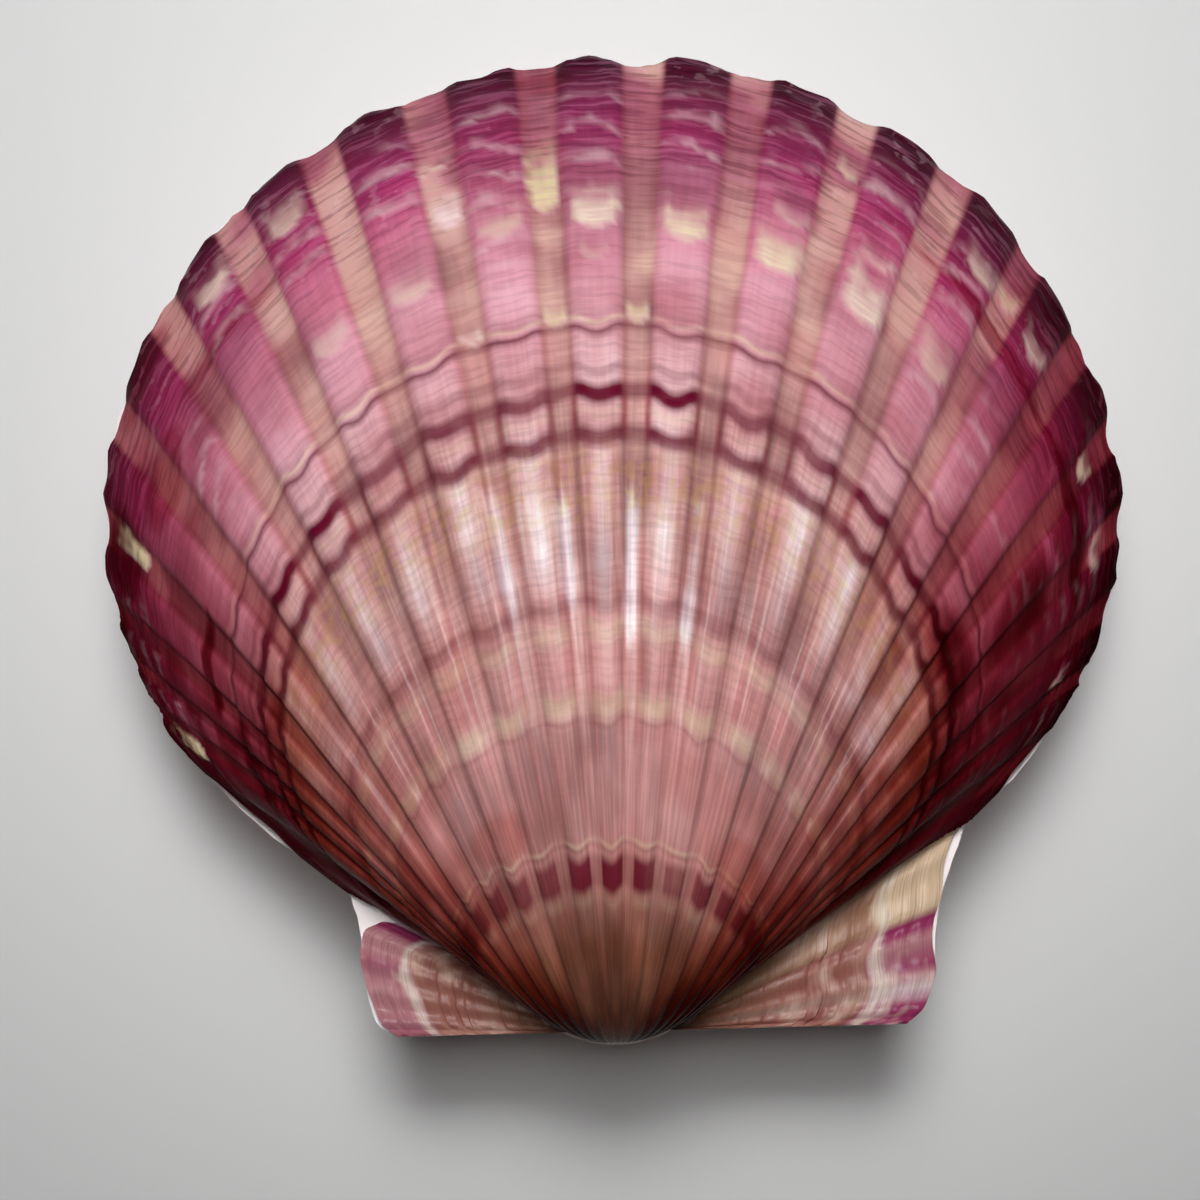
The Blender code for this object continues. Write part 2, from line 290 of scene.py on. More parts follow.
def ledges(age, rib, shell):
    """Relief of the growth stops, the fine layers and the scaly last months; shell is the disc's share."""
    relief = np.zeros_like(age)
    on_crest = np.clip(crest_profile(rib), 0, 1)
    dip = CREST_LEAD * age * on_crest - 0.003 * soft_noise(rib * 3, age * 20, 5)
    for stop, height, recovery in GROWTH_STOPS:
        past = age + dip - stop
        relief -= height * np.exp(-np.clip(past, 0, 1) / recovery) * smooth_step(-0.0015, 0.0015, past)
    lamella = (age * LAMELLAE + 0.9 * soft_noise(rib * 1.0, age * 14, 7) + 0.45 * on_crest) % 1.0
    scaly = smooth_step(0.80, 0.92, age + 0.10 * soft_noise(rib * 0.9, age * 16, 9) - 0.05)
    relief += LAMELLA_RELIEF * (lamella ** 2) * scaly * shell
    relief += SCALY_RELIEF * (soft_noise(rib * 2.6, age * 46, 11) - 0.5) * scaly * shell
    return relief


def worn_scales(age, rib, pigment_and_painted_light):
    """How much of a pale worn scale covers a point, and how creamy it is: sharp below, faded above."""
    cover = np.zeros_like(age)
    cream = np.zeros_like(age)
    frayed = 0.4 * soft_noise(rib * 9, age * 90, 21) + 0.25 * soft_noise(rib * 4, age * 300, 23)
    for middle, edge, half, height, strength, creamy in PALE_SCALES:
        off = np.abs(rib - middle) / half
        above = age - edge - 0.013 * off ** 2 + 0.005
        lip = smooth_step(0.0, 0.004, above) * smooth_step(1.15, 0.75, off + 0.5 * frayed)
        fade = smooth_step(1.5, 0.45, above / height + frayed)
        here = lip * fade * strength
        cream = np.where(here > cover, creamy, cream)
        cover = np.maximum(cover, here)
    shift = soft_noise(np.rint(rib) * 7.3, 0 * age, 25) + 0.6 * soft_noise(rib * 2.5, age * 20, 27)
    tile = (age * TILES + shift + 1.4 * np.abs(rib - np.rint(rib)) ** 2) % 1.0
    lit = smooth_step(0.0, 0.06, tile) * smooth_step(0.55, 0.06, tile + 0.9 * frayed - 0.2)
    crest = smooth_step(0.31, 0.24, np.abs(rib - np.rint(rib)))
    months = smooth_step(0.72, 0.80, age) * smooth_step(0.975, 0.93, age)
    chance = smooth_step(0.42, 0.70, soft_noise(rib * 0.8 + 11, age * 18, 29))
    dabs = TILE_STRENGTH * lit * crest * months * chance * (1 - 0.80 * np.clip(pigment_and_painted_light / 1.6, 0, 1))
    return np.maximum(cover, dabs), cream


def pigment_and_light_depth(age, rib):
    """Depth of the maroon pigment: none in the pale middle, deep at both flanks, with stains. It also holds
    painted shade towards the beak, and goes below nothing for a painted highlight along the middle crests
    and for painted reflections on some floors.
    """
    middle = np.interp(age, *np.array(PALE_MIDDLE).T)
    away = np.abs(rib - MIDDLE_RIB) / middle
    right = smooth_step(MIDDLE_RIB, MIDDLE_RIB + 1, rib)
    flank = smooth_step(0.38, 1.10, away) * (1 + REAR_FLANK_EXTRA * right)
    depth = flank * np.interp(age, *np.array(FLANK_PIGMENT_AND_SHADE).T)
    floor = smooth_step(0.3, -0.5, crest_profile(rib))
    depth += 0.25 * floor * 4 * np.clip(flank, 0, 1) * np.clip(1 - flank, 0, 1)
    cloud = soft_noise(rib * 1.3, age * 26, 31) + 0.5 * soft_noise(rib * 3, age * 70, 33) - 0.75
    depth += cloud * (0.25 + 0.7 * np.clip(flank, 0, 1))
    # Paler crests of the middle ribs halfway out: partly the ribs' own pale band, partly a painted
    # highlight.
    pale_crest_and_highlight = smooth_step(0.30, 0.75, crest_profile(rib)) * smooth_step(0.22, 0.0, off_crest(rib))
    depth -= 0.35 * pale_crest_and_highlight * smooth_step(0.09, 0.03, np.abs(age - 0.545)) * (1 - np.clip(flank, 0, 1))
    for place, when, half, reach, stain in STAINS_AND_REFLECTIONS:
        near = ((rib - place) / half) ** 2 + ((age - when) / reach) ** 2
        depth += stain * smooth_step(1.3, 0.3, near + 0.9 * cloud)
    return np.clip(depth, -0.6, 4)


def clouds(age, across):
    """Soft clouds of colour around a half, in three sizes."""
    coarse = soft_noise(across, age * 14, 41)
    middle = soft_noise(across * 2.1 + 5, age * 29, 43)
    small = soft_noise(across * 4.3 + 9, age * 60, 45)
    return 0.5 + 0.62 * ((coarse + 0.5 * middle + 0.28 * small) / 1.78 - 0.5)


def drift(age, rib):
    """How far a coloured line strays from its own age: to and fro, and to the beak on the crests."""
    stray = 0.006 * (soft_noise(rib * 3.0, age * 22, 47) - 0.5)
    return stray + CREST_LEAD * age * smooth_step(0.40, 0.0, off_crest(rib))


def outer_shape(front_ear, rear_ear, depth, rib_shift):
    """The ribbed outside of a valve, and the marks that its colours follow."""
    line, number, ear = margin_line(front_ear, rear_ear, depth)
    rib = number + rib_shift
    on_ear = ear[:, None]
    disc = 1 - on_ear
    profile = crest_profile(rib)
    low = np.clip(-profile, 0, 1) * (1 - ear)
    row = np.linspace(0, 1, OUTER_ROWS + 1)
    stage = (1 - row) ** ROW_CROWDING * (1 - YOUNGEST_STAGE) + YOUNGEST_STAGE
    newest = smooth_step(0.86, 1.0, stage)
    ragged = RIM_RAGGEDNESS * soft_noise(number * 4, 0 * number, 3)
    stage = stage[None, :] * (1 - (RIM_NOTCH * low + ragged)[:, None] * newest[None, :])
    points, normals = growth_surface(line[:, :, None], stage)
    lag = np.interp(number, *np.array(LAG_AT_RIBS).T)
    age = stage - lag[:, None] * smooth_step(0.10, 0.40, stage) * disc
    ribs = rib[:, None] + 0 * age

    broad = np.clip(half_period(number), 0.25, 1.0)[:, None]
    worn_down = 1 - RIB_WEAR * smooth_step(0.60, 0.97, stage)
    relief = profile[:, None] * RIB_RELIEF / 2 * stage * broad * disc * worn_down
    relief += ledges(age, ribs, disc)
    # The pigment mark also carries a painted highlight, painted reflections and painted shade near the beak.
    pigment_and_painted_light = pigment_and_light_depth(age, ribs) * disc
    worn, cream = worn_scales(age, ribs, pigment_and_painted_light)
    relief += WORN_RELIEF * worn * disc
    from_corner = np.minimum(number - (FIRST_RIB - 1 - EAR_RIBS), LAST_RIB + 1 + EAR_RIBS - number)
    along_ear = np.clip(from_corner / EAR_RIBS, 0, 1)
    riblets = np.cos(2 * np.pi * EAR_RIBLETS * along_ear)[:, None] * on_ear * (along_ear > 0.02)[:, None]
    relief += EAR_RIBLET_RELIEF * riblets * stage
    folds = soft_noise(number[:, None] * 2.0 + 0 * stage, stage * EAR_FOLDS, 15) - 0.5
    relief += EAR_FOLD_RELIEF * folds * on_ear * stage
    relief[[0, -1]] = 0
    points = points + normals * relief[..., None]
    points[..., 2] += EDGE_THICKNESS + VALVE_GAP / 2

    across = (rib * np.where(ear > 0.5, 3.2, 1.1))[:, None] + 0 * age
    marks = {"rib": ribs, "age": age, "ear": on_ear + 0 * age, "inside": 0 * age, "worn": worn,
             "cream": cream, "pigment_and_painted_light": pigment_and_painted_light, "clouds": clouds(age, across), "drift": drift(age, ribs)}
    return points, marks


def even_normals(normals):
    """Each normal averaged with its neighbours along the margin."""
    for _ in range(NORMAL_ROUNDS):
        wider = np.concatenate([normals[:1], normals, normals[-1:]])
        normals = wider[:-2] + wider[1:-1] + wider[2:]
        normals = normals / np.linalg.norm(normals, axis=2, keepdims=True)
    return normals


def inner_shape(front_ear, rear_ear, depth, rib_shift, outer):
    """The smooth inside of a valve, fluted at the rim, as far as the solid hinge plate."""
    line, number, ear = margin_line(front_ear, rear_ear, depth)
    stage = np.linspace(1, HINGE_PLATE_STAGE, INNER_ROWS + 1)
    points, normals = growth_surface(line[:, :, None], stage[None, :])
    normals = even_normals(normals)
    wall = WALL_THICKNESS + BEAK_THICKENING * (1 - stage) - EDGE_THICKNESS * normals[..., 2]
    points = points - normals * wall[..., None]
    points[..., 2] = np.maximum(points[..., 2], 0.0)
    points[:, 0, :2] = outer[:, 0, :2]
    points[:, 0, 2] = 0.0
    flute = np.clip((stage - RIM_FADE_START) / (1 - RIM_FADE_START), 0, 1)
    wave = RIM_WAVE * crest_profile(number + rib_shift) * (1 - ear)
    points[..., 2] += wave[:, None] * flute[None, :] + VALVE_GAP / 2
    return points


def add_sheet(name, points, marks):
    """A flat grid whose vertices are moved to the given points, with one attribute for each mark."""
    columns, rows = points.shape[:2]
    bpy.ops.object.select_all(action="DESELECT")
    bpy.ops.mesh.primitive_grid_add(x_subdivisions=columns - 1, y_subdivisions=rows - 1, size=1)
    sheet = bpy.context.object
    sheet.name = name
    flat = np.zeros(len(sheet.data.vertices) * 3)
    sheet.data.vertices.foreach_get("co", flat)
    flat = flat.reshape(-1, 3)
    column = np.rint((flat[:, 0] + 0.5) * (columns - 1)).astype(int)
    row = np.rint((flat[:, 1] + 0.5) * (rows - 1)).astype(int)
    sheet.data.vertices.foreach_set("co", points[column, row].ravel())
    for mark, values in marks.items():
        layer = sheet.data.attributes.new(mark, "FLOAT", "POINT")
        layer.data.foreach_set("value", values[column, row].ravel())
    order = np.empty((columns, rows), int)
    order[column, row] = np.arange(len(column))
    return sheet, order


def set_down(points, side):
    """The valve turned onto its side of the hinge plane, rolled forward and set on the table."""
    y = points[..., 1]
    z = points[..., 2] * side
    turned = np.stack([points[..., 0],
                       y * math.cos(FORWARD_ROLL) + z * math.sin(FORWARD_ROLL),
                       z * math.cos(FORWARD_ROLL) - y * math.sin(FORWARD_ROLL)], axis=-1)
    return turned + np.array(HINGE_POINT)


def close_valve(outside, inside, outer_order, inner_order):
    """Join the two sheets, and close the rim, the hinge edges, the hinge plate and the beak."""
    shift = len(outside.data.vertices)
    inner_order = inner_order + shift
    bpy.ops.object.select_all(action="DESELECT")
    inside.select_set(True)
    outside.select_set(True)
    bpy.context.view_layer.objects.active = outside
    bpy.ops.object.join()
    bpy.ops.object.mode_set(mode="EDIT")
    shell = bmesh.from_edit_mesh(outside.data)
    shell.verts.ensure_lookup_table()
    verts = shell.verts
    last = outer_order.shape[0] - 1
    for column in range(last):
        shell.faces.new([verts[outer_order[column, 0]], verts[outer_order[column + 1, 0]],
                         verts[inner_order[column + 1, 0]], verts[inner_order[column, 0]]])
    for column in (0, last):
        edge = list(outer_order[column]) + list(inner_order[column][::-1])
        shell.faces.new([verts[index] for index in edge])
    plate = list(inner_order[:, -1])
    shell.faces.new([verts[index] for index in plate])
    beak = [inner_order[0, -1]] + list(outer_order[:, -1]) + [inner_order[last, -1]]
    shell.faces.new([verts[index] for index in beak])
    bmesh.ops.remove_doubles(shell, verts=shell.verts, dist=MERGE_DISTANCE)
    bmesh.ops.triangulate(shell, faces=[face for face in shell.faces if len(face.verts) > 4])
    bmesh.ops.recalc_face_normals(shell, faces=shell.faces)
    bmesh.update_edit_mesh(outside.data)
    bpy.ops.mesh.select_all(action="DESELECT")
    bpy.ops.object.mode_set(mode="OBJECT")
    bpy.ops.object.shade_smooth_by_angle(angle=math.radians(SHARP_ANGLE))
    return outside


def model_valve(name, front_ear, rear_ear, depth, rib_shift, side):
    """One whole valve as a closed mesh, on its side of the hinge plane: 1 above it, -1 below."""
    points, marks = outer_shape(front_ear, rear_ear, depth, rib_shift)
    hollow = inner_shape(front_ear, rear_ear, depth, rib_shift, points)
    outside, outer_order = add_sheet(name, set_down(points, side), marks)
    lining = {mark: np.full(hollow.shape[:2], float(mark == "inside")) for mark in marks}
    inside, inner_order = add_sheet(name + "_inside", set_down(hollow, side), lining)
    return close_valve(outside, inside, outer_order, inner_order)


right_valve = model_valve("right_valve_shell", RIGHT_VALVE_FRONT_EAR, RIGHT_VALVE_REAR_EAR,
                          depth=1.0, rib_shift=0.0, side=1)


def paint(code):
    """A colour from its six-figure screen code, in linear light."""
    parts = [int(code[place:place + 2], 16) / 255 for place in (1, 3, 5)]
    return (*(part / 12.92 if part <= 0.04045 else ((part + 0.055) / 1.055) ** 2.4 for part in parts), 1.0)


class Bench:
    """Places nodes in one tree. A value may be a number, a colour or another node's output."""

    def __init__(self, tree):
        self.tree = tree

    def node(self, kind, **settings):
        """A new node of a kind, with the given settings."""
        made = self.tree.nodes.new(kind)
        for setting, value in settings.items():
            setattr(made, setting, value)
        return made

    def feed(self, socket, value):
        """Link or set a socket."""
        if isinstance(value, bpy.types.NodeSocket):
            self.tree.links.new(value, socket)
        else:
            socket.default_value = value

    def math(self, operation, *values):
        """The result of one sum."""
        made = self.node("ShaderNodeMath", operation=operation)
        for socket, value in zip(made.inputs, values):
            self.feed(socket, value)
        return made.outputs[0]

    def add(self, a, b):
        """Two values added."""
        return self.math("ADD", a, b)

    def times(self, *values):
        """All the values multiplied."""
        product = values[0]
        for value in values[1:]:
            product = self.math("MULTIPLY", product, value)
        return product

    def step(self, value, low, high):
        """0 at low, 1 at high, with soft ends."""
        made = self.node("ShaderNodeMapRange", interpolation_type="SMOOTHSTEP")
        self.feed(made.inputs["Value"], value)
        made.inputs["From Min"].default_value = min(low, high)
        made.inputs["From Max"].default_value = max(low, high)
        made.inputs["To Min"].default_value = 0.0 if low < high else 1.0
        made.inputs["To Max"].default_value = 1.0 if low < high else 0.0
        return made.outputs["Result"]

    def band(self, value, middle, reach):
        """1 at the middle, 0 a reach away from it."""
        away = self.math("ABSOLUTE", self.add(value, -middle))
        return self.step(away, reach, 0.0)

    def mix(self, share, a, b, blend="MIX"):
        """Colour b laid over colour a."""
        made = self.node("ShaderNodeMix", data_type="RGBA", blend_type=blend, clamp_factor=True)
        self.feed(made.inputs[0], share)
        self.feed(made.inputs[6], a)
        self.feed(made.inputs[7], b)
        return made.outputs[2]

    def ramp(self, value, stops):
        """A colour or a grey level from listed stops along a value from 0 to 1."""
        made = self.node("ShaderNodeValToRGB")
        self.feed(made.inputs[0], value)
        elements = made.color_ramp.elements
        while len(elements) < len(stops):
            elements.new(0.5)
        for element, (place, colour) in zip(elements, stops):
            element.position = place
            element.color = paint(colour) if isinstance(colour, str) else (colour, colour, colour, 1)
        return made.outputs[0]

    def place(self, rib, along):
        """A point of the pattern plane."""
        made = self.node("ShaderNodeCombineXYZ")
        self.feed(made.inputs[0], rib)
        self.feed(made.inputs[1], along)
        return made.outputs[0]

    def noise(self, rib, along, detail=2.0):
        """Noise from 0 to 1, one grain to each unit across the ribs and along them."""
        made = self.node("ShaderNodeTexNoise", noise_dimensions="2D")
        self.feed(made.inputs["Vector"], self.place(rib, along))
        made.inputs["Scale"].default_value = 1.0
        made.inputs["Detail"].default_value = detail
        return made.outputs[0]

    def mark(self, name):
        """A mark that the mesh carries."""
        return self.node("ShaderNodeAttribute", attribute_name=name).outputs["Fac"]


def growth_marks():
    """Marks that both valves have: crests, walls, silky streaks, growth lines and specks."""
    group = bpy.data.node_groups.new("growth_marks", "ShaderNodeTree")
    for name in ("Rib", "Age"):
        group.interface.new_socket(name, in_out="INPUT", socket_type="NodeSocketFloat")
    outputs = ("Crest", "Wall", "Streaks", "Lines", "Specks", "Height")
    for name in outputs:
        group.interface.new_socket(name, in_out="OUTPUT", socket_type="NodeSocketFloat")
    bench = Bench(group)
    given = bench.node("NodeGroupInput").outputs
    rib, age = given["Rib"], given["Age"]
    away = bench.math("PINGPONG", rib, 0.5)
    crest = bench.step(away, 0.36, 0.28)
    wall = bench.band(away, 0.335, 0.095)
    streaks = bench.noise(bench.times(rib, 14.0), bench.times(age, 13.0), 2.0)
    wave = bench.add(bench.times(age, 190.0), bench.times(bench.band(away, 0.0, 0.36), 0.6))
    lines = bench.noise(bench.times(rib, 1.6), wave, 2.0)
    specks = bench.noise(bench.times(rib, 5.0), bench.times(age, 70.0), 2.0)
    fine = bench.noise(bench.times(rib, 2.2), bench.times(age, 330.0), 1.0)
    finest = bench.add(bench.times(fine, 0.25), bench.times(streaks, 0.25))
    height = bench.add(bench.times(lines, 0.6), finest)
    result = bench.node("NodeGroupOutput")
    made = dict(zip(outputs, (crest, wall, streaks, lines, specks, height)))
    for name, value in made.items():
        bench.feed(result.inputs[name], value)
    return group


GROWTH_MARKS = growth_marks()
GRAIN_STRENGTH = 0.45
GRAIN_DEPTH = 0.00012

# Tones of the shell, and the ages at which a rib and a floor reach them. The umber at the beak is partly the
# beak's own brown and partly painted shade, as the beak end lies away from the light.
UMBER_AND_SHADE = "#260c06"
TAWNY = "#8a5a46"
SALMON = "#bb8a88"
PEARL = "#d8b4b0"
ROSE = "#d494a4"
MAGENTA = "#9c3464"
WINE = "#300618"
TAN = "#bc9490"
OLD_ROSE = "#aa6474"
RIB_COLOURS = ((0.0, UMBER_AND_SHADE), (0.20, TAWNY), (0.32, SALMON), (0.48, SALMON), (0.54, PEARL),
               (0.76, ROSE), (0.90, MAGENTA), (0.985, WINE))
FLOOR_COLOURS = ((0.0, UMBER_AND_SHADE), (0.19, TAWNY), (0.32, SALMON), (0.56, TAN), (0.78, SALMON),
                 (0.92, OLD_ROSE))
# Painted shade for the walls of the ribs.
PAINTED_WALL_SHADE = "#7c1830"
SILK_SHADE = "#4a2028"
SILK_LIGHT = "#ffe6e4"
CLOUD_SHADE = "#5c2c38"
CLOUD_LIGHT = "#ffeae6"
CHALK = "#dcb4a4"
LINE_CREAM = "#e0c8a8"
LINE_WINE = "#640626"
GROWTH_LINE = "#6c1c30"
YOUNG_LINE_LIGHT = "#cf7ca0"
YOUNG_LINE_DARK = "#5c1438"
SQUARE_RED = "#6c1028"
OCHRE = "#c09a62"
SPECK_PINK = "#e8c0ca"
WORN_PINK = "#f0d0d4"
WORN_CREAM = "#e2cfa4"
WORN_LINE = "#c890a0"
INSIDE_WHITE = "#efe2e2"
# The light that one layer of maroon pigment lets through, in the newer shell and in the older.
PIGMENT = (0.50, 0.205, 0.262, 1.0)
OLD_PIGMENT = (0.50, 0.225, 0.190, 1.0)
# The row of dark squares near the beak: share of the way across, and strength.
DARK_SQUARES = ((0.20, 0.8), (0.41, 0.8), (0.46, 1.0), (0.54, 1.0), (0.59, 0.6), (0.64, 0.9))
SQUARES_START = 0.246
SQUARES_END = 0.284

# Rays of colour on the ears, by share of the way around, and the tones of their older parts.
EAR_CREAM = "#dcc0a0"
EAR_PINK = "#bc8488"
EAR_RAY = "#983460"
EAR_PALE = "#e4ccd0"
FRONT_EAR_COLOURS = ((0.0, OLD_ROSE), (0.36, EAR_PINK), (0.50, OLD_ROSE), (0.58, EAR_PINK),
                     (0.70, EAR_PINK), (0.80, EAR_RAY), (0.90, EAR_RAY), (0.96, EAR_PALE))
REAR_EAR_COLOURS = ((0.0, EAR_CREAM), (0.35, EAR_CREAM), (0.40, EAR_RAY), (0.45, EAR_RAY),
                    (0.51, EAR_PINK), (0.61, EAR_RAY), (0.65, EAR_PINK), (0.71, EAR_PALE),
                    (0.80, EAR_RAY))
EAR_BUFF = "#bf937e"
EAR_BROWN = "#95604c"
EAR_UMBER = "#8a6040"
EAR_DARK = "#2c0c08"
EAR_LEDGE_WHITE = "#ecdccc"
EAR_WORN = "#e8cfc0"
EAR_LINE = "#7a3444"

# Rest lines, dark and pale: age, reach to each side, and strength.
DARK_LINES = ((0.284, 0.0025, 0.35), (0.383, 0.0035, 0.22), (0.474, 0.009, 0.42), (0.610, 0.0115, 0.95),
              (0.6485, 0.0125, 1.0), (0.669, 0.007, 0.40), (0.7065, 0.005, 0.80), (0.722, 0.007, 0.22))
PALE_LINES = ((0.242, 0.006, 0.16), (0.288, 0.0025, 0.50), (0.396, 0.013, 0.45), (0.452, 0.012, 0.32),
              (0.595, 0.004, 0.30), (0.630, 0.006, 0.25), (0.7145, 0.003, 0.55))


def shell_material(name):
    """A material with its node bench, the marks that every pattern follows, and its shader."""
    material = bpy.data.materials.new(name)
    material.use_nodes = True
    bench = Bench(material.node_tree)
    rib = bench.mark("rib")
    age = bench.mark("age")
    group = bench.node("ShaderNodeGroup", node_tree=GROWTH_MARKS)
    bench.feed(group.inputs["Rib"], rib)
    bench.feed(group.inputs["Age"], age)
    marks = {socket.name: socket for socket in group.outputs}
    marks["Mottling"] = bench.mark("clouds")
    marks["Drift"] = bench.mark("drift")
    marks["Rib"] = rib
    marks["Age"] = age
    shader = material.node_tree.nodes["Principled BSDF"]
    return material, bench, marks, shader


def add_grain(bench, marks, shader):
    """The fine relief of both valves, too small for the mesh."""
    bump = bench.node("ShaderNodeBump")
    bump.inputs["Strength"].default_value = GRAIN_STRENGTH
    bump.inputs["Distance"].default_value = GRAIN_DEPTH
    bench.feed(bump.inputs["Height"], marks["Height"])
    bench.feed(shader.inputs["Normal"], bump.outputs[0])


def line_stops(lines):
    """Ramp stops that rise to each line's strength and fall back to nothing."""
    stops = []
    for age, reach, strength in lines:
        full = 0.3 * reach
        stops += [(age - reach, 0.0), (age - full, strength), (age + full, strength), (age + reach, 0.0)]
    return stops


def growing_colour(bench, marks):
    """Ribs and floors coloured by age, with painted shade on the rib walls, silky streaks, clouds and chalk.
    """
    crest, wall, age = marks["Crest"], marks["Wall"], marks["Age"]
    tint = bench.add(age, bench.times(bench.add(marks["Mottling"], -0.5), 0.05))
    colour = bench.mix(crest, bench.ramp(tint, FLOOR_COLOURS), bench.ramp(tint, RIB_COLOURS))
    grown = bench.step(age, 0.30, 0.50)
    # Painted shade on the rib walls, deeper between the rest lines near age 0.63.
    between_rests = bench.times(bench.band(age, 0.628, 0.034), 0.45)
    wall_shade_share = bench.times(wall, grown, bench.add(between_rests, 0.30))
    colour = bench.mix(wall_shade_share, colour, paint(PAINTED_WALL_SHADE))
    silk = bench.step(marks["Streaks"], 0.30, 0.72)
    silk_share = bench.add(bench.times(bench.step(age, 0.72, 0.58), 0.11), 0.06)
    silky = bench.mix(silk, paint(SILK_SHADE), paint(SILK_LIGHT))
    colour = bench.mix(silk_share, colour, silky, "OVERLAY")
    cloudy = bench.mix(bench.step(marks["Mottling"], 0.30, 0.68), paint(CLOUD_SHADE), paint(CLOUD_LIGHT))
    colour = bench.mix(0.28, colour, cloudy, "OVERLAY")
    floor = bench.add(bench.times(crest, -1.0), 1.0)
    chalky = bench.times(floor, bench.step(marks["Mottling"], 0.44, 0.60), bench.step(age, 0.66, 0.80), 0.62)
    return bench.mix(chalky, colour, paint(CHALK))


def rest_lines(bench, marks, colour):
    """Pale and dark rest lines, the growth lines, and the row of dark squares near the beak."""
    crest, age = marks["Crest"], marks["Age"]
    across = bench.times(bench.add(marks["Rib"], 1.0), 1 / (LAST_RIB - FIRST_RIB))
    drifted = bench.add(age, marks["Drift"])
    patchy = bench.add(bench.times(bench.step(marks["Mottling"], 0.30, 0.60), 0.65), 0.35)
    on_ribs = bench.times(bench.add(bench.times(crest, 0.62), 0.38), patchy)
    pale = bench.times(bench.ramp(drifted, line_stops(PALE_LINES)), on_ribs)
    colour = bench.mix(pale, colour, paint(LINE_CREAM))
    dark = bench.times(bench.ramp(drifted, line_stops(DARK_LINES)), bench.math("POWER", on_ribs, 0.35))
    colour = bench.mix(dark, colour, paint(LINE_WINE))
    growth_lines = bench.times(bench.step(marks["Lines"], 0.58, 0.36), bench.step(age, 0.30, 0.50), 0.16)
    colour = bench.mix(growth_lines, colour, paint(GROWTH_LINE))
    begun = bench.step(drifted, SQUARES_START, SQUARES_START + 0.010)
    not_over = bench.step(drifted, SQUARES_END, SQUARES_END - 0.012)
    on_crests = bench.add(bench.times(crest, 0.56), 0.38)
    square = bench.times(begun, not_over, bench.ramp(across, DARK_SQUARES), on_crests)
    return bench.mix(square, colour, paint(SQUARE_RED))


def last_months(bench, marks, colour):
    """An ochre stain half way, then light and dark growth lines and pink specks towards the rim."""
    young = bench.step(marks["Age"], 0.80, 0.90)
    stain = bench.times(bench.band(marks["Age"], 0.565, 0.05), bench.step(marks["Specks"], 0.42, 0.62), 0.38)
    colour = bench.mix(stain, colour, paint(OCHRE))
    line_light = bench.times(bench.step(marks["Lines"], 0.50, 0.66), young, 0.20)
    colour = bench.mix(line_light, colour, paint(YOUNG_LINE_LIGHT))
    line_dark = bench.times(bench.step(marks["Lines"], 0.48, 0.34), young, 0.34)
    colour = bench.mix(line_dark, colour, paint(YOUNG_LINE_DARK))
    in_clouds = bench.step(marks["Mottling"], 0.42, 0.62)
    speck = bench.times(bench.step(marks["Specks"], 0.60, 0.68), in_clouds, young, 0.16)
    return bench.mix(speck, colour, paint(SPECK_PINK))


def pigmented_and_lit(bench, marks, colour):
    """Layers of maroon pigment over the colour, with painted shade near the beak and, where the depth is
    below nothing, a painted highlight and painted reflections; and the worn scales that have lost the
    pigment.
    """
    # The pigment depth also darkens for painted shade near the beak, and lightens for the painted highlight
    # and painted reflections where it is below nothing.
    pigment_and_light_tint = bench.node("ShaderNodeGamma")
    hue = bench.mix(bench.step(marks["Age"], 0.58, 0.68), OLD_PIGMENT, PIGMENT)
    bench.feed(pigment_and_light_tint.inputs["Color"], hue)
    bench.feed(pigment_and_light_tint.inputs["Gamma"], bench.mark("pigment_and_painted_light"))
    colour = bench.mix(1.0, colour, pigment_and_light_tint.outputs[0], "MULTIPLY")
    worn_colour = bench.mix(bench.mark("cream"), paint(WORN_PINK), paint(WORN_CREAM))
    worn_lines = bench.times(bench.step(marks["Lines"], 0.40, 0.60), 0.3)
    worn_colour = bench.mix(worn_lines, worn_colour, paint(WORN_LINE))
    return bench.mix(bench.mark("worn"), colour, worn_colour)


def ear_tones(bench, marks):
    """Rays on the newest part of each ear, a pale ledge, and brown folds near the beak."""
    rib, age, fold = marks["Rib"], marks["Age"], marks["Mottling"]
    front_share = bench.times(bench.add(rib, 1.0 + EAR_RIBS - FIRST_RIB), 1 / EAR_RIBS)
    rear_share = bench.times(bench.add(rib, -1.0 - LAST_RIB), 1 / EAR_RIBS)
    front = bench.ramp(front_share, FRONT_EAR_COLOURS)
    rear = bench.ramp(rear_share, REAR_EAR_COLOURS)
    colour = bench.mix(bench.step(rib, 9.0, 11.0), front, rear)
    ledge = bench.add(age, bench.times(bench.add(fold, -0.5), 0.10))
    older = bench.mix(bench.step(fold, 0.40, 0.62), paint(EAR_BUFF), paint(EAR_BROWN))
    older = bench.mix(bench.step(ledge, 0.62, 0.35), older, paint(EAR_UMBER))
    colour = bench.mix(bench.times(bench.step(ledge, 0.800, 0.775), 0.82), colour, older)
    colour = bench.mix(bench.times(bench.band(ledge, 0.815, 0.035), 0.70), colour, paint(EAR_LEDGE_WHITE))
    colour = bench.mix(bench.times(bench.step(fold, 0.44, 0.32), 0.45), colour, paint(EAR_WORN))
    colour = bench.mix(bench.times(bench.step(marks["Lines"], 0.48, 0.66), 0.28), colour, paint(EAR_LINE))
    return bench.mix(bench.step(age, 0.34, 0.14), colour, paint(EAR_DARK))


